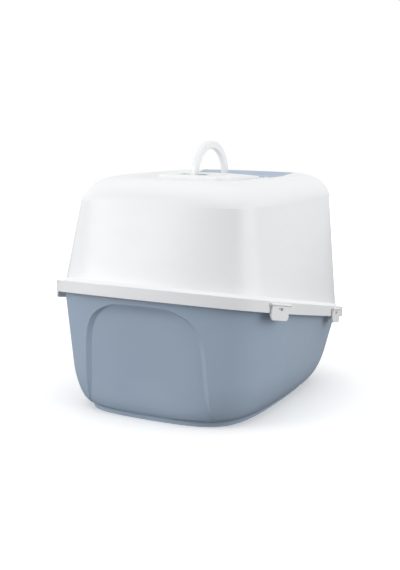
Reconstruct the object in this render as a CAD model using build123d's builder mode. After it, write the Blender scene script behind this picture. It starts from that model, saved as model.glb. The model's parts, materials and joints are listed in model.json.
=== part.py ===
from build123d import *
import os
from math import asin, cos, degrees, radians, sin, sqrt

# Hooded cat litter box: a deep tray, a lift-off hood with a swing-up front panel and a
# hanging flap, a filter under the roof, a carrying handle and four side clips.
#
# Millimetres. X runs across the box, -Y is the entrance end, +Z is up. The origin is on
# the floor, in the middle of the box.

os.makedirs("parts", exist_ok=True)

# ---- driving dimensions -----------------------------------------------------
WIDTH = 485.0            # over the hood's skirt, side to side
LENGTH = 655.0           # over the hood's skirt, front to back
WALL = 3.0               # moulded wall of the tray and the hood

# the rim where the hood meets the tray slopes down towards the entrance
RIM_HEIGHT = 205.0       # top of the skirt above the floor, halfway along
RIM_RISE = 0.163         # rise of the rim for each millimetre towards the back
RIM_POWER = 3.8          # squareness of the rim's outline, as a superellipse power
SKIRT_DROP = 21.3        # height of the skirt

# tray
TRAY_INSET = 12.2        # from the skirt's face to the tray's wall, at the rim
BEND_HEIGHT = 80.0       # where the straight walls start to curve under
BEND_INSET = 33.4        # from the skirt's face to the tray's wall, at that height
BEND_START = 30.0        # the curve under starts this far round its ellipse
FOOT_HEIGHT = 10.0
FOOT_HALF_WIDTH = 170.4
FOOT_FRONT = 240.0
FOOT_REAR = 268.8
TRAY_POWER = 4.1
FOOT_SETBACK = 2.0       # the foot ring stands this far inside the tray's bottom
FOOT_RING = 8.0          # width of the foot ring
SEAT_GAP = 0.4           # between the tray's flange and the hood that sits on it
LIP_INSET = 4.2          # outside of the flange's turned-down lip
LIP_THICK = 2.4

# hood
HOOD_INSET = 14.5        # from the skirt's face to the hood's wall, at the rim
SHOULDER_HEIGHT = 412.0  # where the walls start to curve into the roof
SHOULDER_INSET = 48.0
SHOULDER_RADIUS = 53.0
SHOULDER_START = 10.0    # the curve into the roof starts this far round its circle
SHOULDER_POWER = 5.1
ROOF_POWER = 3.4
ROOF_RISE = -0.03        # the roof climbs a little towards the entrance
HOOD_LEAN = 3.4          # the roof's outline stands this far towards the entrance
DISH_RIM = 3.0           # flat band round the roof's shallow dish
DISH_WIDTH = 44.0        # the dish slopes down over this distance
DISH_DEPTH = 7.0
LEDGE_INSET = 23.0       # inner edge of the ledge that sits on the tray
DRIP_LIP = 20.5          # outside of the lip that hangs inside the tray
DRIP_LIP_DROP = 13.0

# raised filter cover in the middle of the roof
COVER_HALF_WIDTH = 75.0
COVER_HALF_LENGTH = 102.5
COVER_Y = 18.0
COVER_TOP = 460.0
COVER_SPHERE = 1200.0    # radius of its domed top
COVER_WALL = 2.5
COVER_CORNER = 22.0
COVER_EDGE = 3.0         # rounding of its upper edge
SCREW_X = 66.0
SCREW_Y = 50.0
SCREW_TIP = 4.0          # above the roof's outside
SCREW_RADIUS = 1.5
SCREW_HEAD_RADIUS = 3.0
BOSS_RADIUS = 3.6

# vent in the roof below the cover, and the filter that hangs in it
VENT_HALF_WIDTH = 52.0
VENT_HALF_LENGTH = 93.0
FRAME_HALF_WIDTH = 60.0
FRAME_HALF_LENGTH = 97.0
FRAME_FLANGE = 2.5
BASKET_HALF_WIDTH = 49.0
BASKET_HALF_LENGTH = 90.0
BASKET_DEPTH = 26.0
FILTER_THICK = 12.0

# carrying handle, an arch that stands fore and aft
HANDLE_HALF_SPAN = 83.0
HANDLE_RISE = 72.0       # from its pivots to its top
HANDLE_WIDTH = 11.5
HANDLE_DEPTH = 16.0
HANDLE_PIVOT_Z = 453.0
HANDLE_EDGE = 3.0
HANDLE_PIN_RADIUS = 2.5
POCKET_HALF_WIDTH = 30.0
POCKET_HALF_LENGTH = 12.0
POCKET_RIB = 2.4

# front panel, the part of the hood that swings up
PANEL_REAR_Y = -95.0     # its hinge line
PANEL_HINGE_DOWN = 2.0   # hinge line below the roof's surface
PANEL_REAR_HALF = 95.0
PANEL_FRONT_HALF = 128.0
PANEL_SILL_HEIGHT = 176.0
PANEL_GAP = 1.6
PANEL_THICK = 2.6
PANEL_SUNK = 0.6         # the panel's face lies this far below the hood's
PANEL_REAR_GAP = 3.9     # behind the hinge line, so that its edge can turn
NOTCH_HALF = 80.0        # half the length of that gap
SEAT_THICK = 2.4
SEAT_WIDTH = 9.0
PANEL_BARREL_X = 66.0
PANEL_BARREL_HALF = 10.0
PANEL_BARREL_RADIUS = 3.4
PANEL_PIN_RADIUS = 1.5
PANEL_PIN_HALF = 15.3    # half the pin's length; it ends inside the lugs
LUG_THICK = 6.0
CLEAR = 0.3              # running clearance of pins and barrels

# doorway and its flap
DOOR_HALF_WIDTH = 98.0
DOOR_TOP = 378.0
DOOR_BOTTOM = 196.0
DOOR_CORNER = 50.0
FLAP_Y = -280.0
FLAP_THICK = 2.6
FLAP_GAP = 2.2
FLAP_BARREL_RADIUS = 3.6
FLAP_PIN_RADIUS = 2.0
COLLAR_WALL = 2.5
COLLAR_INSIDE_Y = -272.0

# side clips: place along the rim, and the direction they face in degrees from sideways
CLIP_WIDTH = 56.0
CLIP_PLACES = {"rear": (230.4, 205.0, 14.0), "front": (241.5, -112.0, -2.0)}
CLIP_ROOTS = {"rear": 5.0, "front": 3.6}   # how far the ears reach into the skirt
CLIP_AXIS_OUT = 2.6      # hinge line outside the skirt's face
CLIP_AXIS_DOWN = 5.0     # hinge line below the top of the skirt
CLIP_DROP = 33.5         # bottom of the clip below the top of the skirt
CLIP_THICK = 2.8
CLIP_BARREL = 2.2
CLIP_PIN_RADIUS = 1.0
CLIP_HOOK = 9.0          # how far the hook reaches in under the tray's lip
CLIP_LUG = 4.0
CLIP_PIN_HALF = CLIP_WIDTH / 2 + 0.3 + CLIP_LUG

OVER = 40.0              # how far cutting shapes reach past what they cut


# ---- outlines ---------------------------------------------------------------
def squareness(power):
    """Length of a quarter's Bezier handles that gives this superellipse power."""
    return (8 * 2 ** (-1 / power) - 4) / 3


def loop(height, rise, half_width, front, rear, power):
    """A rounded, slightly bulging oblong on a plane that rises towards the back."""
    stretch = sqrt(1 + rise**2)
    middle = (rear - front) / 2 * stretch
    reach = (rear + front) / 2 * stretch
    handle = squareness(power)
    plane = Plane(origin=(0, 0, height), x_dir=(1, 0, 0), z_dir=(0, -rise, 1))
    with BuildSketch(plane) as drawing:
        with BuildLine():
            for side, end in ((1, 1), (-1, -1)):
                Bezier(
                    (side * half_width, middle),
                    (side * half_width, middle + end * handle * reach),
                    (side * handle * half_width, middle + end * reach),
                    (0, middle + end * reach),
                )
                Bezier(
                    (0, middle + end * reach),
                    (-side * handle * half_width, middle + end * reach),
                    (-side * half_width, middle + end * handle * reach),
                    (-side * half_width, middle),
                )
        make_face()
    return drawing.sketch


def rim_loop(drop, inset):
    """The rim's outline, moved down and inwards."""
    half_length = LENGTH / 2 - inset
    return loop(RIM_HEIGHT - drop, RIM_RISE, WIDTH / 2 - inset, half_length, half_length, RIM_POWER)


def rim_ring(top, bottom, outer_inset, inner_inset):
    """A band that follows the rim, between two depths below its top."""
    with BuildPart() as ring:
        extrude(rim_loop(bottom, outer_inset), amount=bottom - top, dir=(0, 0, 1))
        extrude(rim_loop(bottom, inner_inset), amount=bottom - top, dir=(0, 0, 1), mode=Mode.SUBTRACT)
    return ring.part


def blend(start, end, share):
    """The value this share of the way from start to end."""
    return start + (end - start) * share


# ---- tray -------------------------------------------------------------------
TRAY_TOP = RIM_HEIGHT - WALL - SEAT_GAP


def tray_bend(turn):
    """Half width, front reach, rear reach and height of the tray's curved lower wall."""
    start = cos(radians(BEND_START))
    inward = (start - cos(radians(turn))) / start
    sunk = (sin(radians(turn)) - sin(radians(BEND_START))) / (1 - sin(radians(BEND_START)))
    half_width = blend(WIDTH / 2 - BEND_INSET, FOOT_HALF_WIDTH, inward)
    front = blend(LENGTH / 2 - BEND_INSET, FOOT_FRONT, inward)
    rear = blend(LENGTH / 2 - BEND_INSET, FOOT_REAR, inward)
    return half_width, front, rear, blend(BEND_HEIGHT, FOOT_HEIGHT, sunk)


def tray_wall_loop(share, depth):
    """The straight wall's outline, this share of the way from the bend to the rim."""
    inset = blend(BEND_INSET, TRAY_INSET, share) + depth
    half_length = LENGTH / 2 - inset
    power = blend(TRAY_POWER, RIM_POWER, share)
    height = blend(BEND_HEIGHT, TRAY_TOP, share)
    return loop(height, RIM_RISE * share, WIDTH / 2 - inset, half_length, half_length, power)


def tray_skin(depth):
    """The solid inside the tray's outer skin, moved inwards by this depth."""
    bend_loops = []
    for turn in (90, 78, 66, 54, 42, BEND_START):
        half_width, front, rear, height = tray_bend(turn)
        sideways = depth * blend(0, 1, (90 - turn) / (90 - BEND_START))
        height += depth * blend(1, 0, (90 - turn) / (90 - BEND_START))
        bend_loops.append(
            loop(height, 0, half_width - sideways, front - sideways, rear - sideways, TRAY_POWER)
        )
    top_share = 1.0 if depth == 0 else 1.1
    with BuildPart() as skin:
        loft(bend_loops)
        loft([tray_wall_loop(0, depth), tray_wall_loop(top_share, depth)], ruled=True)
    return skin.part


def rear_wall_y(x, z):
    """Where the tray's rear wall stands, at this place across and up."""
    if z < BEND_HEIGHT:
        sunk = (BEND_HEIGHT - z) / (BEND_HEIGHT - FOOT_HEIGHT)
        start = sin(radians(BEND_START))
        half_width, front, rear, height = tray_bend(degrees(asin(blend(start, 1, sunk))))
        power = TRAY_POWER
    else:
        share = (z - BEND_HEIGHT) / (TRAY_TOP + RIM_RISE * LENGTH / 2 - BEND_HEIGHT)
        inset = blend(BEND_INSET, TRAY_INSET, share)
        half_width = WIDTH / 2 - inset
        front = LENGTH / 2 - inset
        rear = front
        power = blend(TRAY_POWER, RIM_POWER, share)
    reach = (rear + front) / 2
    return (rear - front) / 2 + reach * (1 - (abs(x) / half_width) ** power) ** (1 / power)


# height, half width and depth of the arched recess in the rear wall
RECESS_LEVELS = (
    (11.5, 132.0, 0.2),
    (30.0, 131.5, 3.5),
    (60.0, 130.5, 7.0),
    (100.0, 129.0, 8.0),
    (140.0, 126.5, 8.0),
    (170.0, 121.0, 8.0),
    (190.0, 111.5, 8.0),
    (204.0, 98.0, 7.5),
    (213.0, 82.0, 5.5),
    (219.0, 66.0, 2.5),
    (223.0, 52.0, 0.2),
)
RECESS_DRAFT = 1.6       # how far its edge slants sideways for each millimetre of depth
RECESS_FLAT = 3.0        # the panel is flatter than the bulging wall by this much
RECESS_OUTSIDE = LENGTH / 2 + 10


def recess(grow):
    """The space taken out of the rear wall, grown by the wall for the inside of the tray."""
    sections = []
    low, high = RECESS_LEVELS[0][0], RECESS_LEVELS[-1][0]
    for height, half_width, depth in RECESS_LEVELS:
        edge = half_width + grow
        level = height + grow * blend(-1, 1, (height - low) / (high - low))
        edge_y = rear_wall_y(half_width, height)
        floor_half = edge - depth * RECESS_DRAFT
        outside_half = edge + (RECESS_OUTSIDE - edge_y) * 0.5
        flat = RECESS_FLAT * depth / 8.0
        floor = []
        for step in range(-4, 5):
            x = floor_half * step / 4
            y = rear_wall_y(x, height) - depth - grow - flat * (1 - (step / 4) ** 2)
            floor.append((x, y))
        with BuildSketch(Plane.XY.offset(level)) as section:
            with BuildLine():
                Spline(*floor)
                Polyline(floor[-1], (edge, edge_y - grow), (outside_half, RECESS_OUTSIDE))
                Line((outside_half, RECESS_OUTSIDE), (-outside_half, RECESS_OUTSIDE))
                Polyline((-outside_half, RECESS_OUTSIDE), (-edge, edge_y - grow), floor[0])
            make_face()
        sections.append(section.sketch)
    with BuildPart() as space:
        loft(sections, clean=False)
    return space.part


def foot_outline(setback):
    """The tray's footprint, moved inwards."""
    return loop(0, 0, FOOT_HALF_WIDTH - setback, FOOT_FRONT - setback, FOOT_REAR - setback, TRAY_POWER)


base = tray_skin(0)
panel_of_recess = base.intersect(recess(WALL) - recess(0))

with BuildPart() as base_tray:
    add(base - tray_skin(WALL))
    add(recess(0), mode=Mode.SUBTRACT)
    add(panel_of_recess)
    add(rim_ring(WALL + SEAT_GAP, WALL + SEAT_GAP + WALL, LIP_INSET, TRAY_INSET + 1.5))
    add(rim_ring(WALL + SEAT_GAP, SKIRT_DROP - 0.8, LIP_INSET, LIP_INSET + LIP_THICK))
    extrude(foot_outline(FOOT_SETBACK), amount=FOOT_HEIGHT + 0.5)
    extrude(foot_outline(FOOT_SETBACK + FOOT_RING), amount=FOOT_HEIGHT, mode=Mode.SUBTRACT)


# ---- hood -------------------------------------------------------------------
def hood_wall_loop(share, depth):
    """The hood's leaning wall, this share of the way from the rim to the shoulder."""
    inset = blend(HOOD_INSET, SHOULDER_INSET, share) + depth
    half_length = LENGTH / 2 - inset
    lean = HOOD_LEAN * share
    return loop(
        blend(RIM_HEIGHT, SHOULDER_HEIGHT, share), blend(RIM_RISE, ROOF_RISE, share), WIDTH / 2 - inset,
        half_length + lean, half_length - lean, blend(RIM_POWER, SHOULDER_POWER, share),
    )


def roof_loop(inset, height, power):
    """An outline on the roof, which climbs towards the entrance."""
    half_length = LENGTH / 2 - inset
    return loop(
        height, ROOF_RISE, WIDTH / 2 - inset, half_length + HOOD_LEAN, half_length - HOOD_LEAN, power
    )


ROOF_INSET = SHOULDER_INSET + SHOULDER_RADIUS * cos(radians(SHOULDER_START))
ROOF_HEIGHT = SHOULDER_HEIGHT + SHOULDER_RADIUS * (1 - sin(radians(SHOULDER_START)))
DISH_HEIGHT = ROOF_HEIGHT - DISH_DEPTH


def hood_solid(depth):
    """Everything inside the hood's outer skin, moved inwards by this depth."""
    shoulder = []
    for turn in (SHOULDER_START, 26, 42, 58, 74, 90):
        share = (turn - SHOULDER_START) / (90 - SHOULDER_START)
        inset = ROOF_INSET - SHOULDER_RADIUS * cos(radians(turn)) + depth * (1 - share)
        height = ROOF_HEIGHT - SHOULDER_RADIUS * (1 - sin(radians(turn))) - depth * share
        shoulder.append(roof_loop(inset, height, blend(SHOULDER_POWER, ROOF_POWER, share)))
    dish = []
    for share in (0, 0.33, 0.67, 1):
        inset = ROOF_INSET + DISH_RIM + DISH_WIDTH * share
        height = ROOF_HEIGHT - depth - DISH_DEPTH * (1 - cos(radians(180 * share))) / 2
        dish.append(roof_loop(inset, height, ROOF_POWER))
    with BuildPart() as solid:
        loft([hood_wall_loop(0 if depth == 0 else -0.05, depth), hood_wall_loop(1, depth)], ruled=True)
        loft(shoulder)
        loft(dish, mode=Mode.SUBTRACT)
    return solid.part


def hood_layer(outer, inner):
    """A skin of the hood's shape between two depths."""
    return hood_solid(outer) - hood_solid(inner)


def front_wedge(grow):
    """The widening block that cuts the front panel out of the hood's skin."""
    rear = PANEL_REAR_Y + grow
    flare = (PANEL_FRONT_HALF - PANEL_REAR_HALF) / (LENGTH / 2 + PANEL_REAR_Y)
    front = -LENGTH / 2 - OVER
    rear_half = PANEL_REAR_HALF + grow
    front_half = rear_half + flare * (PANEL_REAR_Y - front)
    with BuildPart() as wedge:
        with BuildSketch(Plane.XY.offset(PANEL_SILL_HEIGHT - grow)):
            with BuildLine():
                Polyline(
                    (rear_half, rear), (front_half, front), (-front_half, front), (-rear_half, rear),
                    close=True,
                )
            make_face()
        extrude(amount=LENGTH / 2)
        corners = wedge.edges().filter_by(Axis.Z).group_by(Axis.Y)[-1]
        fillet(corners, 18 + grow)
        sides = wedge.edges().group_by(Axis.Z)[0].filter_by(lambda edge: abs(edge.tangent_at(0.5).Y) > 0.9)
        fillet(sides, 28 + grow)
    return wedge.part


def cover_outline(half_width, half_length, corner):
    """A rounded oblong round the middle of the filter cover, seen from above."""
    with BuildSketch() as outline:
        with Locations((0, COVER_Y)):
            RectangleRounded(2 * half_width, 2 * half_length, corner)
    return outline.sketch


def upright(outline, bottom, top):
    """A prism with this outline, between two heights."""
    with BuildPart() as prism:
        extrude(Pos(0, 0, bottom) * outline, amount=top - bottom)
    return prism.part


def roof_slab(top_offset, bottom_offset):
    """A broad slab parallel to the bottom of the roof's dish, above it by these offsets."""
    with BuildPart() as slab:
        outline = loop(DISH_HEIGHT + bottom_offset, ROOF_RISE, WIDTH / 2, LENGTH / 2, LENGTH / 2, ROOF_POWER)
        extrude(outline, amount=top_offset - bottom_offset, dir=(0, 0, 1))
    return slab.part


def rod(start, end, radius):
    """A round rod between two points."""
    direction = Vector(*end) - Vector(*start)
    with BuildPart() as bar:
        with BuildSketch(Plane(origin=start, z_dir=direction)):
            Circle(radius)
        extrude(amount=direction.length)
    return bar.part


SCREW_PLACES = [(x, COVER_Y + y) for x in (-SCREW_X, SCREW_X) for y in (-SCREW_Y, SCREW_Y)]
HINGE_Z = DISH_HEIGHT + ROOF_RISE * PANEL_REAR_Y - PANEL_HINGE_DOWN


def hinge_rod(near, far, radius, side):
    """A rod on the front panel's hinge line, between two distances from the middle."""
    return rod((side * near, PANEL_REAR_Y, HINGE_Z), (side * far, PANEL_REAR_Y, HINGE_Z), radius)


# ---- side clips -------------------------------------------------------------
def clip_frame(place, side):
    """Plane at the top of the skirt: x along the rim, z outwards."""
    x, y, swing = CLIP_PLACES[place]
    out = Vector(side * cos(radians(swing)), sin(radians(swing)), 0)
    along = Vector(-out.Y, out.X, 0)
    along = Vector(along.X, along.Y, RIM_RISE * along.Y).normalized()
    return Plane(origin=(side * x, y, RIM_HEIGHT + RIM_RISE * y), x_dir=along, z_dir=out)


def clip_profile(half, points, frame):
    """A strip along the rim whose cross-section is given as (outwards, upwards) points."""
    section = Plane(
        origin=frame.from_local_coords(Vector(half, 0, 0)), x_dir=frame.z_dir, z_dir=-frame.x_dir
    )
    with BuildPart() as strip:
        with BuildSketch(section):
            with BuildLine():
                Polyline(*points, close=True)
            make_face()
        extrude(amount=2 * half)
    return strip.part


def clip_rod(half, radius, frame, offset=0):
    """A rod on a clip's hinge line."""
    ends = []
    for end in (-half, half):
        ends.append(frame.from_local_coords(Vector(offset + end, -CLIP_AXIS_DOWN, CLIP_AXIS_OUT)))
    return rod(ends[0], ends[1], radius)


CLIPS = [(place, side, name) for place in CLIP_PLACES for side, name in ((-1, "left"), (1, "right"))]


def clip_lugs(frame, root_depth):
    """The two ears on the skirt that hold a clip's hinge pin."""
    with BuildPart() as lugs:
        middle = CLIP_WIDTH / 2 + CLEAR + CLIP_LUG / 2
        for end in (-middle, middle):
            add(clip_rod(CLIP_LUG / 2, CLIP_BARREL, frame, end))
            root = frame.from_local_coords(Vector(end, -CLIP_AXIS_DOWN, (CLIP_AXIS_OUT - root_depth) / 2))
            with Locations(Plane(origin=root, x_dir=frame.x_dir, z_dir=frame.z_dir)):
                Box(CLIP_LUG, 2 * CLIP_BARREL, CLIP_AXIS_OUT + root_depth)
    return lugs.part


# ---- hood shell -------------------------------------------------------------
with BuildPart() as bead:
    loft([rim_loop(0.5, HOOD_INSET - 6), rim_loop(-1.5, HOOD_INSET - 2.6), rim_loop(-4, HOOD_INSET - 0.6),
          rim_loop(-8, HOOD_INSET + 2.6)])

panel_hole = front_wedge(0)
seat_zone = front_wedge(5) - front_wedge(-SEAT_WIDTH)
with BuildPart() as seat:
    add(hood_layer(WALL - 0.2, PANEL_SUNK + PANEL_THICK + 0.4 + SEAT_THICK))
    add(seat_zone, mode=Mode.INTERSECT)
    add(front_wedge(0) & hood_solid(0) - hood_solid(PANEL_SUNK + PANEL_THICK + 0.4), mode=Mode.SUBTRACT)
    with Locations((0, PANEL_REAR_Y + LENGTH / 2 - 12, ROOF_HEIGHT)):
        Box(WIDTH, LENGTH, LENGTH, mode=Mode.SUBTRACT)

with BuildPart() as hood_shell:
    add(hood_solid(0))
    add(bead.part)
    add(hood_solid(WALL), mode=Mode.SUBTRACT)
    add(panel_hole, mode=Mode.SUBTRACT)
    with Locations((0, PANEL_REAR_Y, HINGE_Z)):
        Box(2 * NOTCH_HALF, 2 * PANEL_REAR_GAP, 12, mode=Mode.SUBTRACT)
    add(seat.part)
    add(rim_ring(0, SKIRT_DROP, 0, WALL))
    add(rim_ring(0, WALL, 0, LEDGE_INSET))
    add(rim_ring(WALL - 0.5, DRIP_LIP_DROP, DRIP_LIP, LEDGE_INSET))
    add(upright(cover_outline(VENT_HALF_WIDTH, VENT_HALF_LENGTH, 12), 430, 470), mode=Mode.SUBTRACT)
    for side in (-1, 1):
        for near in (PANEL_BARREL_X - PANEL_BARREL_HALF - CLEAR - LUG_THICK,
                     PANEL_BARREL_X + PANEL_BARREL_HALF + CLEAR):
            add(hinge_rod(near, near + LUG_THICK, PANEL_BARREL_RADIUS, side))
            with Locations((side * (near + LUG_THICK / 2), PANEL_REAR_Y + 4, HINGE_Z - 1.4)):
                Box(LUG_THICK, 9, 4)
        bore = PANEL_PIN_HALF + CLEAR
        add(
            hinge_rod(PANEL_BARREL_X - bore, PANEL_BARREL_X + bore, PANEL_PIN_RADIUS + CLEAR, side),
            mode=Mode.SUBTRACT,
        )
    for place, side, name in CLIPS:
        frame = clip_frame(place, side)
        add(clip_lugs(frame, CLIP_ROOTS[place]))
        add(clip_rod(CLIP_PIN_HALF + CLEAR, CLIP_PIN_RADIUS + CLEAR, frame), mode=Mode.SUBTRACT)
    for x, y in SCREW_PLACES:
        add(rod((x, y, 430), (x, y, 470), SCREW_RADIUS + CLEAR), mode=Mode.SUBTRACT)


# ---- filter cover, filter and its frame -------------------------------------
def cover_solid(depth):
    """The filter cover's domed block, moved inwards by this depth."""
    top = COVER_TOP - depth
    half_width = COVER_HALF_WIDTH - depth
    half_length = COVER_HALF_LENGTH - depth
    with BuildPart() as block:
        add(upright(cover_outline(half_width, half_length, COVER_CORNER - depth), 430, COVER_TOP + 5))
        with Locations((0, COVER_Y, top - COVER_SPHERE)):
            Sphere(COVER_SPHERE, rotation=(90, 0, 0), mode=Mode.INTERSECT)
        if depth == 0:
            fillet(block.faces().sort_by(Axis.Z)[-1].edges(), COVER_EDGE)
        add(roof_slab(-depth, -60), mode=Mode.SUBTRACT)
    return block.part


PIVOT_YS = {"front": COVER_Y - HANDLE_HALF_SPAN + HANDLE_DEPTH / 2,
            "rear": COVER_Y + HANDLE_HALF_SPAN - HANDLE_DEPTH / 2}

with BuildPart() as vent_cover:
    add(cover_solid(0))
    add(cover_solid(COVER_WALL), mode=Mode.SUBTRACT)
    for x, y in SCREW_PLACES:
        add(cover_solid(0) & rod((x, y, 430), (x, y, 470), BOSS_RADIUS))
        bore_top = DISH_HEIGHT + ROOF_RISE * y + SCREW_TIP + CLEAR
        add(rod((x, y, 430), (x, y, bore_top), SCREW_RADIUS), mode=Mode.SUBTRACT)
    for y in PIVOT_YS.values():
        for rib_y in (y - POCKET_HALF_LENGTH - POCKET_RIB / 2, y + POCKET_HALF_LENGTH + POCKET_RIB / 2):
            with Locations((0, rib_y, HANDLE_PIVOT_Z - 3.15)):
                Box(2 * POCKET_HALF_WIDTH, POCKET_RIB, 12.7)
        with Locations((0, y, HANDLE_PIVOT_Z)):
            Box(2 * POCKET_HALF_WIDTH, 2 * POCKET_HALF_LENGTH, 40, mode=Mode.SUBTRACT)
        reach = POCKET_HALF_LENGTH + 2 * POCKET_RIB
        add(
            rod((0, y - reach, HANDLE_PIVOT_Z), (0, y + reach, HANDLE_PIVOT_Z), HANDLE_PIN_RADIUS + CLEAR),
            mode=Mode.SUBTRACT,
        )

with BuildPart() as cover_screws:
    for x, y in SCREW_PLACES:
        roof_inside = DISH_HEIGHT + ROOF_RISE * y - WALL
        add(rod((x, y, roof_inside - 2.6), (x, y, roof_inside - 0.2), SCREW_HEAD_RADIUS))
        add(rod((x, y, roof_inside - 2.6), (x, y, roof_inside + WALL + SCREW_TIP), SCREW_RADIUS))

with BuildPart() as filter_frame:
    below_roof = -WALL - 0.2
    add(
        roof_slab(below_roof, below_roof - FRAME_FLANGE)
        & upright(cover_outline(FRAME_HALF_WIDTH, FRAME_HALF_LENGTH, 12), 400, 470)
    )
    basket_bottom = DISH_HEIGHT - BASKET_DEPTH
    wall = 2.0
    basket_top = DISH_HEIGHT - WALL
    add(
        upright(
            cover_outline(BASKET_HALF_WIDTH + wall, BASKET_HALF_LENGTH + wall, 8), basket_bottom, basket_top
        )
        - roof_slab(40, below_roof - 0.5)
    )
    add(
        upright(cover_outline(BASKET_HALF_WIDTH, BASKET_HALF_LENGTH, 6), basket_bottom + wall, 470),
        mode=Mode.SUBTRACT,
    )
    with Locations((0, COVER_Y, basket_bottom)):
        with GridLocations(16, 21, 6, 8):
            Box(12, 17, 10, mode=Mode.SUBTRACT)

with BuildPart() as charcoal_filter:
    outline = cover_outline(BASKET_HALF_WIDTH - 1, BASKET_HALF_LENGTH - 1, 6)
    add(upright(outline, basket_bottom + wall + 0.2, basket_bottom + wall + 0.2 + FILTER_THICK))


# ---- carrying handle --------------------------------------------------------
with BuildPart() as carry_handle:
    side_face = Plane(origin=(-HANDLE_WIDTH / 2, COVER_Y, HANDLE_PIVOT_Z), x_dir=(0, 1, 0), z_dir=(1, 0, 0))
    with BuildSketch(side_face):
        Ellipse(HANDLE_HALF_SPAN, HANDLE_RISE)
        Ellipse(HANDLE_HALF_SPAN - HANDLE_DEPTH, HANDLE_RISE - HANDLE_DEPTH, mode=Mode.SUBTRACT)
        with Locations((0, -HANDLE_RISE)):
            Rectangle(4 * HANDLE_RISE, 2 * HANDLE_RISE, mode=Mode.SUBTRACT)
        with Locations((HANDLE_DEPTH / 2 - HANDLE_HALF_SPAN, 0), (HANDLE_HALF_SPAN - HANDLE_DEPTH / 2, 0)):
            Circle(HANDLE_DEPTH / 2)
    extrude(amount=HANDLE_WIDTH)
    fillet(carry_handle.edges().filter_by(Plane.YZ), HANDLE_EDGE)
    for y in PIVOT_YS.values():
        add(
            rod((0, y - 20, HANDLE_PIVOT_Z), (0, y + 20, HANDLE_PIVOT_Z), HANDLE_PIN_RADIUS + CLEAR),
            mode=Mode.SUBTRACT,
        )

pins = {}
for name, y in PIVOT_YS.items():
    reach = POCKET_HALF_LENGTH + POCKET_RIB
    pins["handle_pin_" + name] = rod(
        (0, y - reach, HANDLE_PIVOT_Z), (0, y + reach, HANDLE_PIVOT_Z), HANDLE_PIN_RADIUS
    )
for side, name in ((-1, "left"), (1, "right")):
    pins["panel_pin_" + name] = hinge_rod(
        PANEL_BARREL_X - PANEL_PIN_HALF, PANEL_BARREL_X + PANEL_PIN_HALF, PANEL_PIN_RADIUS, side
    )


# ---- front panel and flap ---------------------------------------------------
def doorway(grow):
    """The doorway's outline, seen from the front, grown by this much."""
    low = DOOR_BOTTOM - grow
    high = DOOR_TOP + grow
    with BuildSketch(Plane.XZ) as outline:
        with Locations((0, (low + high) / 2)):
            Rectangle(2 * (DOOR_HALF_WIDTH + grow), high - low)
        fillet(outline.vertices().group_by(Axis.Y)[0], DOOR_CORNER + grow)
        fillet(outline.vertices().group_by(Axis.Y)[-1], 5 + grow)
    return outline.sketch


def through_front(grow, front, back):
    """A prism with the doorway's outline, between two places along the box."""
    with BuildPart() as prism:
        extrude(Pos(0, front, 0) * doorway(grow), amount=back - front, dir=(0, 1, 0))
    return prism.part


FLAP_TOP = DOOR_TOP - FLAP_GAP
FLAP_AXIS_Z = FLAP_TOP - FLAP_BARREL_RADIUS
BEYOND = -LENGTH / 2 - OVER

with BuildPart() as entry_panel:
    add(hood_layer(PANEL_SUNK, PANEL_SUNK + PANEL_THICK) & front_wedge(-PANEL_GAP))
    add(through_front(COLLAR_WALL, BEYOND, COLLAR_INSIDE_Y) & hood_solid(PANEL_SUNK))
    add(through_front(0, BEYOND, 0), mode=Mode.SUBTRACT)
    for side in (-1, 1):
        near, far = PANEL_BARREL_X - PANEL_BARREL_HALF, PANEL_BARREL_X + PANEL_BARREL_HALF
        room = CLEAR + LUG_THICK + CLEAR
        lug_room = PANEL_BARREL_RADIUS + 2 * CLEAR
        add(hinge_rod(near - room, near, lug_room, side), mode=Mode.SUBTRACT)
        add(hinge_rod(far, far + room, lug_room, side), mode=Mode.SUBTRACT)
        add(hinge_rod(near, far, PANEL_BARREL_RADIUS, side))
        with Locations((side * PANEL_BARREL_X, PANEL_REAR_Y - 4, HINGE_Z - 0.9)):
            Box(2 * PANEL_BARREL_HALF, 8, 3.4)
        add(hinge_rod(near - 1, far + 1, PANEL_PIN_RADIUS + CLEAR, side), mode=Mode.SUBTRACT)
        axis_end = side * (DOOR_HALF_WIDTH + COLLAR_WALL + 3)
        add(rod((side * (DOOR_HALF_WIDTH + 0.5), FLAP_Y, FLAP_AXIS_Z), (axis_end, FLAP_Y, FLAP_AXIS_Z), 5))
        add(
            rod((side * (DOOR_HALF_WIDTH - 2), FLAP_Y, FLAP_AXIS_Z), (axis_end, FLAP_Y, FLAP_AXIS_Z),
                FLAP_PIN_RADIUS),
            mode=Mode.SUBTRACT,
        )

with BuildPart() as swing_flap:
    add(through_front(-FLAP_GAP, FLAP_Y - FLAP_THICK / 2, FLAP_Y + FLAP_THICK / 2))
    barrel_half = DOOR_HALF_WIDTH - FLAP_GAP
    add(rod((-barrel_half, FLAP_Y, FLAP_AXIS_Z), (barrel_half, FLAP_Y, FLAP_AXIS_Z), FLAP_BARREL_RADIUS))
    for side in (-1, 1):
        bore_start = (side * (barrel_half - 12), FLAP_Y, FLAP_AXIS_Z)
        bore_end = (side * (barrel_half + 1), FLAP_Y, FLAP_AXIS_Z)
        add(rod(bore_start, bore_end, FLAP_PIN_RADIUS + CLEAR), mode=Mode.SUBTRACT)
        name = "flap_pin_left" if side < 0 else "flap_pin_right"
        pins[name] = rod(
            (side * (barrel_half - 11), FLAP_Y, FLAP_AXIS_Z),
            (side * (DOOR_HALF_WIDTH + COLLAR_WALL + 3), FLAP_Y, FLAP_AXIS_Z), FLAP_PIN_RADIUS,
        )


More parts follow.
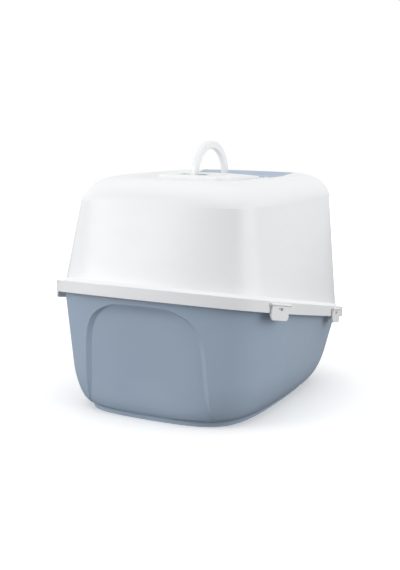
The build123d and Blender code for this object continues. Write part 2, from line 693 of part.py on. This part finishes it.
# ---- clips ------------------------------------------------------------------
def side_clip(frame):
    """A clip: barrel, plate with a slot and rounded lower corners, and hook."""
    out = CLIP_AXIS_OUT + 0.6
    back = out - CLIP_THICK
    with BuildPart() as clip:
        add(
            clip_profile(
                CLIP_WIDTH / 2,
                [(out, -CLIP_AXIS_DOWN), (out, -CLIP_DROP), (back, -CLIP_DROP), (back, -CLIP_AXIS_DOWN)],
                frame,
            )
        )
        add(
            clip_profile(
                CLIP_WIDTH / 2 - 10,
                [(back + 0.5, -SKIRT_DROP - 4.6), (-CLIP_HOOK, -SKIRT_DROP - 4.6),
                 (-CLIP_HOOK, -SKIRT_DROP - 0.6), (back + 0.5, -SKIRT_DROP - 1.4)],
                frame,
            )
        )
        corners = clip.edges().filter_by(lambda edge: abs(edge.length - CLIP_THICK) < 0.01)
        fillet(corners.group_by(Axis.Z)[0] + corners.group_by(Axis.Z)[1], 8)
        add(clip_rod(CLIP_WIDTH / 2, CLIP_BARREL, frame))
        add(clip_rod(CLIP_PIN_HALF, CLIP_PIN_RADIUS + CLEAR, frame), mode=Mode.SUBTRACT)
        slot = Plane(origin=frame.from_local_coords(Vector(0, -13, 0)), x_dir=frame.x_dir, z_dir=frame.z_dir)
        with BuildSketch(slot.offset(-2)):
            SlotOverall(16, 5)
        extrude(amount=10, mode=Mode.SUBTRACT)
    return clip.part


parts = {
    "base_tray": base_tray.part, "hood_shell": hood_shell.part, "vent_cover": vent_cover.part,
    "cover_screws": cover_screws.part, "filter_frame": filter_frame.part,
    "charcoal_filter": charcoal_filter.part, "carry_handle": carry_handle.part,
    "entry_panel": entry_panel.part, "swing_flap": swing_flap.part, **pins,
}
for place, side, name in CLIPS:
    frame = clip_frame(place, side)
    parts["clip_%s_%s" % (place, name)] = side_clip(frame)
    parts["clip_pin_%s_%s" % (place, name)] = clip_rod(CLIP_PIN_HALF, CLIP_PIN_RADIUS, frame)

for name, part in parts.items():
    part.label = name
    export_step(part, "parts/" + name + ".step")
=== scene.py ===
import json
import math
import random

import bmesh
import bpy
from mathutils import Matrix, Vector


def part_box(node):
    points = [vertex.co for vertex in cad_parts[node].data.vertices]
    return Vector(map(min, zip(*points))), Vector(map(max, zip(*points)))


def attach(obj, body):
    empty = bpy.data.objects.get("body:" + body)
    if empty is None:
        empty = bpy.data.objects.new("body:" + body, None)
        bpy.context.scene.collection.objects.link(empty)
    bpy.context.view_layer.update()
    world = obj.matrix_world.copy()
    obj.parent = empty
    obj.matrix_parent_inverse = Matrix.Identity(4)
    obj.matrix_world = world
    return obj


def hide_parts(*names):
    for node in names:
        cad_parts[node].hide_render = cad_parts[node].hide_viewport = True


# Looks for a hooded cat litter box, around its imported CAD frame. Metres, +Z up, rear at +Y.
# The CAD nodes keep their shapes and get materials; the charcoal filter gets a padded piece.

MM = 0.001
PAINTED_GLOW_START = 0.8          # the softboxes light the floor evenly this far out; beyond it the floor's painted glow grows
FLOOR_PAINTED_GLOW = 0.2         # painted glow on the floor near the object, seen only by the camera; it lightens the cast shadow

# ---- the camera: where it stands, in degrees and metres ----------------------
VIEW_AZIMUTH = 204.6
VIEW_ELEVATION = 8.3
VIEW_ROLL = 1.72
VIEW_DISTANCE = 1.9424
VIEW_TARGET = Vector((0.0232, 0.0016, 0.2228))
LENS = 57.98             # millimetres, on a 36 mm sensor along the picture's long side

# ---- colours, linear --------------------------------------------------------
BLUE = (0.37, 0.455, 0.56)
BLUE_DEEP = (0.345, 0.43, 0.54)
WHITE = (0.82, 0.83, 0.835)
WHITE_COOL = (0.805, 0.82, 0.835)
CLEAR_BLUE = (0.50, 0.60, 0.68)
CHARCOAL = (0.012, 0.012, 0.013)
CHARCOAL_GREY = (0.05, 0.05, 0.052)
STEEL = (0.56, 0.56, 0.57)
FLOOR_WHITE = (0.93, 0.93, 0.93)
FLOOR_BOUNCE = (0.27, 0.27, 0.27)   # what the floor gives back to the object's underside

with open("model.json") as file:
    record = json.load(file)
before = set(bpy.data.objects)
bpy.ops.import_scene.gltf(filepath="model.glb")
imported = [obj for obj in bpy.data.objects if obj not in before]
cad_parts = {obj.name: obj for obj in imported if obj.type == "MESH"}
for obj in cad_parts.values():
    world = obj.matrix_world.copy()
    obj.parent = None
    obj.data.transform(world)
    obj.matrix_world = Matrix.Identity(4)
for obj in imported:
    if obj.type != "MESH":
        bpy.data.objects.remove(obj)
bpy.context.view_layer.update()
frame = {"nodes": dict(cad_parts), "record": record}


# ---- materials --------------------------------------------------------------
class Material:
    """A node material with short ways to add textures on the object's own coordinates."""

    def __init__(self, name):
        self.material = bpy.data.materials.new(name)
        self.material.use_nodes = True
        self.tree = self.material.node_tree
        self.shader = self.tree.nodes["Principled BSDF"]
        self.place = self.add("ShaderNodeTexCoord").outputs["Object"]

    def add(self, kind, **settings):
        node = self.tree.nodes.new(kind)
        for key, value in settings.items():
            setattr(node, key, value)
        return node

    def link(self, source, target):
        self.tree.links.new(source, target)

    def set(self, **values):
        """Sets the shader's own sockets."""
        for key, value in values.items():
            self.shader.inputs[key.replace("_", " ")].default_value = value

    def stretched(self, scale):
        """The object's coordinates, stretched differently along each axis."""
        mapping = self.add("ShaderNodeMapping")
        mapping.inputs["Scale"].default_value = scale
        self.link(self.place, mapping.inputs["Vector"])
        return mapping.outputs["Vector"]

    def noise(self, scale, detail=3.0, place=None, roughness=0.5):
        node = self.add("ShaderNodeTexNoise")
        node.inputs["Scale"].default_value = scale
        node.inputs["Detail"].default_value = detail
        node.inputs["Roughness"].default_value = roughness
        self.link(place or self.place, node.inputs["Vector"])
        return node.outputs["Fac"]

    def ranged(self, source, low, high, to_low, to_high):
        """A value moved from one range to another, and held inside it."""
        node = self.add("ShaderNodeMapRange")
        values = (("From Min", low), ("From Max", high), ("To Min", to_low), ("To Max", to_high))
        for key, value in values:
            node.inputs[key].default_value = value
        self.link(source, node.inputs["Value"])
        return node.outputs["Result"]

    def maths(self, operation, first, second):
        node = self.add("ShaderNodeMath", operation=operation)
        for socket, value in zip(node.inputs, (first, second)):
            if isinstance(value, (int, float)):
                socket.default_value = value
            else:
                self.link(value, socket)
        return node.outputs["Value"]

    def mixed(self, share, first, second):
        """A colour between two, which are colours or outputs."""
        node = self.add("ShaderNodeMix", data_type="RGBA")
        self.link(share, node.inputs["Factor"])
        for name, value in (("A", first), ("B", second)):
            socket = [s for s in node.inputs if s.name == name and s.type == "RGBA"][0]
            if isinstance(value, tuple):
                socket.default_value = (*value, 1)
            else:
                self.link(value, socket)
        return [s for s in node.outputs if s.type == "RGBA"][0]

    def bumps(self, layers, rounding=0.0):
        """Stacks bump layers of (height output, depth in metres) on a normal rounded at edges."""
        normal = None
        if rounding:
            bevel = self.add("ShaderNodeBevel", samples=4)
            bevel.inputs["Radius"].default_value = rounding
            normal = bevel.outputs["Normal"]
        for height, depth in layers:
            bump = self.add("ShaderNodeBump")
            bump.inputs["Distance"].default_value = depth
            self.link(height, bump.inputs["Height"])
            if normal is not None:
                self.link(normal, bump.inputs["Normal"])
            normal = bump.outputs["Normal"]
        self.link(normal, self.shader.inputs["Normal"])

    def edge_wear(self, radius):
        """A share from 0 to 1 that rises at sharp edges, broken up by a noise."""
        bevel = self.add("ShaderNodeBevel", samples=4)
        bevel.inputs["Radius"].default_value = radius
        flat = self.add("ShaderNodeNewGeometry").outputs["Normal"]
        dot = self.add("ShaderNodeVectorMath", operation="DOT_PRODUCT")
        self.link(bevel.outputs["Normal"], dot.inputs[0])
        self.link(flat, dot.inputs[1])
        edge = self.ranged(dot.outputs["Value"], 0.75, 0.995, 1.0, 0.0)
        broken = self.ranged(self.noise(140, 4), 0.42, 0.62, 0.0, 1.0)
        return self.maths("MULTIPLY", edge, broken)


def moulded_plastic(name, colour, second, roughness, coat, grain):
    """Moulded plastic: slow colour drift, fine spark-eroded grain, handling marks, worn edges."""
    m = Material(name)
    m.set(IOR=1.5, Coat_Weight=coat, Coat_Roughness=0.3, Specular_IOR_Level=0.5)
    drift = m.ranged(m.noise(5, 2), 0.35, 0.65, 0.0, 1.0)
    base = m.mixed(drift, colour, second)
    flow = m.ranged(m.noise(1, 3, m.stretched((14, 14, 70))), 0.4, 0.7, 0.0, 0.08)
    base = m.mixed(flow, base, tuple(c * 0.9 for c in colour))
    wear = m.edge_wear(1.2 * MM)
    base = m.mixed(m.maths("MULTIPLY", wear, 0.25), base, tuple(min(1, c * 1.35) for c in colour))
    m.link(base, m.shader.inputs["Base Color"])
    rubbed = m.ranged(m.noise(26, 5), 0.35, 0.68, roughness - 0.05, roughness + 0.06)
    fine = m.ranged(m.noise(1, 2, m.stretched((900, 900, 60))), 0.55, 0.75, 0.0, 0.05)
    m.link(m.maths("ADD", rubbed, fine), m.shader.inputs["Roughness"])
    grain_height = m.noise(1500, 2)
    ripple = m.noise(22, 2)
    m.bumps([(ripple, 0.25 * MM), (grain_height, grain)], rounding=0.9 * MM)
    return m.material


def clear_plastic(name):
    """Tinted see-through plastic with faint scratches from rubbing through the doorway."""
    m = Material(name)
    m.set(IOR=1.47, Transmission_Weight=0.75, Specular_IOR_Level=0.5)
    drift = m.ranged(m.noise(9, 2), 0.35, 0.65, 0.0, 1.0)
    m.link(m.mixed(drift, CLEAR_BLUE, tuple(c * 0.93 for c in CLEAR_BLUE)), m.shader.inputs["Base Color"])
    scratches = m.noise(1, 3, m.stretched((60, 60, 1200)))
    m.link(m.ranged(scratches, 0.5, 0.75, 0.16, 0.22), m.shader.inputs["Roughness"])
    m.bumps([(m.noise(18, 2), 0.3 * MM), (scratches, 0.004 * MM)])
    return m.material


def brushed_steel(name):
    """Turned steel: fine rings of tool marks and dull patches."""
    m = Material(name)
    m.set(Metallic=1.0)
    dull = m.ranged(m.noise(300, 3), 0.4, 0.65, 0.0, 1.0)
    m.link(m.mixed(dull, STEEL, tuple(c * 0.7 for c in STEEL)), m.shader.inputs["Base Color"])
    marks = m.noise(1, 2, m.stretched((400, 400, 9000)))
    m.link(m.ranged(marks, 0.35, 0.7, 0.22, 0.42), m.shader.inputs["Roughness"])
    m.bumps([(marks, 0.01 * MM)])
    return m.material


def charcoal_felt(name):
    """Felt loaded with charcoal: matted fibres and grey lint."""
    m = Material(name)
    m.set(Specular_IOR_Level=0.2, Sheen_Weight=0.35, Sheen_Roughness=0.6)
    fibres = m.noise(1, 4, m.stretched((2600, 500, 2600)), 0.7)
    crossed = m.noise(1, 4, m.stretched((500, 2600, 2600)), 0.7)
    lint = m.ranged(m.maths("MAXIMUM", fibres, crossed), 0.52, 0.78, 0.0, 1.0)
    m.link(m.mixed(lint, CHARCOAL, CHARCOAL_GREY), m.shader.inputs["Base Color"])
    m.link(m.ranged(m.noise(60, 3), 0.3, 0.7, 0.85, 1.0), m.shader.inputs["Roughness"])
    m.bumps([(m.noise(240, 3), 0.6 * MM), (fibres, 0.25 * MM), (crossed, 0.25 * MM)])
    return m.material


def floor_material(name):
    """A pale, plain floor that throws little light back up. To the camera it carries a painted glow that
    lightens the cast shadow and grows away from the object, so it is white to the edge of sight.
    """
    m = Material(name)
    m.set(Specular_IOR_Level=0.0)
    seen = m.add("ShaderNodeLightPath").outputs["Is Camera Ray"]
    m.link(m.mixed(seen, FLOOR_BOUNCE, FLOOR_WHITE), m.shader.inputs["Base Color"])
    m.link(m.ranged(m.noise(8, 2), 0.3, 0.7, 0.8, 0.9), m.shader.inputs["Roughness"])
    distance = m.add("ShaderNodeVectorMath", operation="LENGTH")
    m.link(m.place, distance.inputs[0])
    # painted glow: an emission only the camera sees, faint near the object where it lightens the cast shadow,
    # stronger further out
    painted_glow = m.ranged(distance.outputs["Value"], PAINTED_GLOW_START, 2.5 * PAINTED_GLOW_START, FLOOR_PAINTED_GLOW, 0.7)
    m.set(Emission_Color=(1, 1, 1, 1))
    m.link(m.maths("MULTIPLY", painted_glow, seen), m.shader.inputs["Emission Strength"])
    return m.material


MATERIALS = {
    "tray_blue": moulded_plastic("tray_blue_plastic", BLUE, BLUE_DEEP, 0.42, 0.0, 0.012 * MM),
    "hood_white": moulded_plastic("hood_white_plastic", WHITE, WHITE_COOL, 0.36, 0.25, 0.004 * MM),
    "pin_white": moulded_plastic("pin_white_plastic", WHITE_COOL, WHITE, 0.4, 0.0, 0.01 * MM),
    "flap_clear": clear_plastic("flap_clear_plastic"),
    "charcoal": charcoal_felt("charcoal_felt"),
    "steel": brushed_steel("turned_steel"),
}


def dress_frame():
    """Gives every CAD node the material of its slot in the record."""
    slots = {part["node"]: part["material_slot"] for part in frame["record"]["subparts"]}
    for name, node in frame["nodes"].items():
        node.data.materials.clear()
        node.data.materials.append(MATERIALS[slots[name]])


# ---- the charcoal pad -------------------------------------------------------
PAD_COLUMNS = 48
PAD_ROWS = 88
PAD_CHANNELS = 4         # sewn channels along the pad
PAD_CORNER_POWER = 7.0   # squareness of its outline
PAD_CHANNEL_DEPTH = 1.6 * MM
PAD_LUMP = 0.35 * MM     # unevenness of its faces
PAD_RIM_SHARE = 0.25     # its thickness at the rim, as a share of the middle's
PAD_THINNEST = 0.12      # the same at the thinnest stitch


def pad_half_thickness(u, v, half):
    """Half the pad's thickness at this place: crowned, pulled in at the rim and the channels."""
    edge = max(abs(u), abs(v))
    crown = (1 - edge**6) ** 0.5
    channel = math.cos(math.pi * PAD_CHANNELS * (u + 1)) ** 24
    pulled = PAD_CHANNEL_DEPTH * channel * min(1.0, 4 * (1 - edge))
    crowned = half * (PAD_RIM_SHARE + (1 - PAD_RIM_SHARE) * crown)
    return max(PAD_THINNEST * half, crowned - pulled)


def make_pad():
    """The filter pad: two crowned faces sewn in channels and joined at a thin rim."""
    low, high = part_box("charcoal_filter")
    centre = (low + high) / 2
    half = (high - low) / 2
    chance = random.Random(7)
    mesh = bmesh.new()
    sheets = []
    for side in (1, -1):
        rows = []
        for row in range(PAD_ROWS + 1):
            line = []
            for column in range(PAD_COLUMNS + 1):
                u = 2 * column / PAD_COLUMNS - 1
                v = 2 * row / PAD_ROWS - 1
                pull = (abs(u) ** PAD_CORNER_POWER + abs(v) ** PAD_CORNER_POWER) ** (1 / PAD_CORNER_POWER)
                squeeze = max(abs(u), abs(v)) / pull if pull else 1.0
                thick = pad_half_thickness(u, v, half.z)
                lump = chance.uniform(-PAD_LUMP, PAD_LUMP) * min(1.0, 4 * (1 - max(abs(u), abs(v))))
                height = side * max(0.1 * half.z, min(half.z, thick + lump))
                place = Vector((u * squeeze * half.x, v * squeeze * half.y, height))
                line.append(mesh.verts.new(centre + place))
            rows.append(line)
        for row in range(PAD_ROWS):
            for column in range(PAD_COLUMNS):
                corners = [rows[row][column], rows[row][column + 1], rows[row + 1][column + 1],
                           rows[row + 1][column]]
                mesh.faces.new(corners if side > 0 else corners[::-1])
        sheets.append(rows)
    for line in rims(sheets):
        for first, second in zip(line, line[1:]):
            mesh.faces.new((first[0], first[1], second[1], second[0]))
    bmesh.ops.recalc_face_normals(mesh, faces=mesh.faces)
    data = bpy.data.meshes.new("charcoal_pad")
    mesh.to_mesh(data)
    mesh.free()
    data.shade_smooth()
    pad = bpy.data.objects.new("charcoal_pad", data)
    bpy.context.scene.collection.objects.link(pad)
    pad.data.materials.append(MATERIALS["charcoal"])
    smooth = pad.modifiers.new("smooth", "SUBSURF")
    smooth.levels = 1
    smooth.render_levels = 1
    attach(pad, "hood")
    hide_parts("charcoal_filter")


def rims(sheets):
    """The pad's four edges, as lists of (top point, bottom point)."""
    top, bottom = sheets
    yield list(zip(top[0], bottom[0]))[::-1]
    yield list(zip(top[-1], bottom[-1]))
    yield [(top[row][0], bottom[row][0]) for row in range(PAD_ROWS + 1)]
    yield [(top[row][-1], bottom[row][-1]) for row in range(PAD_ROWS, -1, -1)]


# ---- floor, light and camera ------------------------------------------------
FLOOR_HALF = 9.0
WORLD_STRENGTH = 0.9
GAP_DIRECTION = (-0.6, 0.8, 0.05)
GAP_EDGE = 0.45          # cosine of the gap's half angle
GAP_STRENGTH = 0.6
LIT_POINT = (0, 0, 0.25)     # what the softboxes face
SOFTBOXES = {                # place, size of side in metres, and watts
    "key": ((2.0, 2.4, 1.0), 2.0, 40),
    "top": ((0.0, 0.1, 2.4), 2.2, 4),
    "side": ((-3.0, 0.0, 0.9), 2.4, 37),
}


def make_floor():
    data = bpy.data.meshes.new("floor")
    corners = [(-FLOOR_HALF, -FLOOR_HALF, 0), (FLOOR_HALF, -FLOOR_HALF, 0), (FLOOR_HALF, FLOOR_HALF, 0),
               (-FLOOR_HALF, FLOOR_HALF, 0)]
    data.from_pydata(corners, [], [(0, 1, 2, 3)])
    floor = bpy.data.objects.new("floor", data)
    bpy.context.scene.collection.objects.link(floor)
    floor.data.materials.append(floor_material("floor_white"))


def make_softbox(name, place, size, power):
    """A square area light that faces the object."""
    light = bpy.data.lights.new(name, "AREA")
    light.shape = "SQUARE"
    light.size = size
    light.energy = power
    lamp = bpy.data.objects.new(name, light)
    lamp.location = place
    lamp.rotation_mode = "QUATERNION"
    lamp.rotation_quaternion = (Vector(LIT_POINT) - Vector(place)).to_track_quat("-Z", "Y")
    bpy.context.scene.collection.objects.link(lamp)


def make_world():
    """Pale surroundings with a darker gap behind the camera; the camera sees plain white."""
    world = bpy.data.worlds.new("studio")
    world.use_nodes = True
    tree = world.node_tree
    background = tree.nodes["Background"]
    background.inputs["Color"].default_value = (1, 1, 1, 1)
    direction = tree.nodes.new("ShaderNodeTexCoord").outputs["Generated"]
    towards = tree.nodes.new("ShaderNodeVectorMath")
    towards.operation = "DOT_PRODUCT"
    towards.inputs[1].default_value = GAP_DIRECTION
    tree.links.new(direction, towards.inputs[0])
    gap = tree.nodes.new("ShaderNodeMapRange")
    gap.interpolation_type = "SMOOTHSTEP"
    values = (("From Min", GAP_EDGE), ("From Max", 1.0), ("To Min", WORLD_STRENGTH), ("To Max", GAP_STRENGTH))
    for key, value in values:
        gap.inputs[key].default_value = value
    tree.links.new(towards.outputs["Value"], gap.inputs["Value"])
    seen = tree.nodes.new("ShaderNodeMix")
    tree.links.new(tree.nodes.new("ShaderNodeLightPath").outputs["Is Camera Ray"], seen.inputs["Factor"])
    tree.links.new(gap.outputs["Result"], seen.inputs["A"])
    seen.inputs["B"].default_value = 1.0
    tree.links.new(seen.outputs["Result"], background.inputs["Strength"])
    bpy.context.scene.world = world


def make_camera():
    azimuth, elevation = math.radians(VIEW_AZIMUTH), math.radians(VIEW_ELEVATION)
    roll = math.radians(VIEW_ROLL)
    back = Vector((
        math.sin(azimuth) * math.cos(elevation), -math.cos(azimuth) * math.cos(elevation), math.sin(elevation)
    ))
    level = (-back).cross(Vector((0, 0, 1))).normalized()
    up = level.cross(-back)
    right = level * math.cos(roll) + up * math.sin(roll)
    top = up * math.cos(roll) - level * math.sin(roll)
    data = bpy.data.cameras.new("camera")
    data.lens = LENS
    data.sensor_width = 36.0
    data.clip_start = 0.05
    data.clip_end = 60
    camera = bpy.data.objects.new("camera", data)
    camera.matrix_world = Matrix((
        (right.x, top.x, back.x, VIEW_TARGET.x + back.x * VIEW_DISTANCE),
        (right.y, top.y, back.y, VIEW_TARGET.y + back.y * VIEW_DISTANCE),
        (right.z, top.z, back.z, VIEW_TARGET.z + back.z * VIEW_DISTANCE),
        (0, 0, 0, 1),
    ))
    bpy.context.scene.collection.objects.link(camera)
    bpy.context.scene.camera = camera


bpy.context.scene.view_settings.view_transform = "Standard"
dress_frame()
make_pad()
make_floor()
make_world()
for light_name, (light_place, light_size, watts) in SOFTBOXES.items():
    make_softbox(light_name, light_place, light_size, watts)
make_camera()
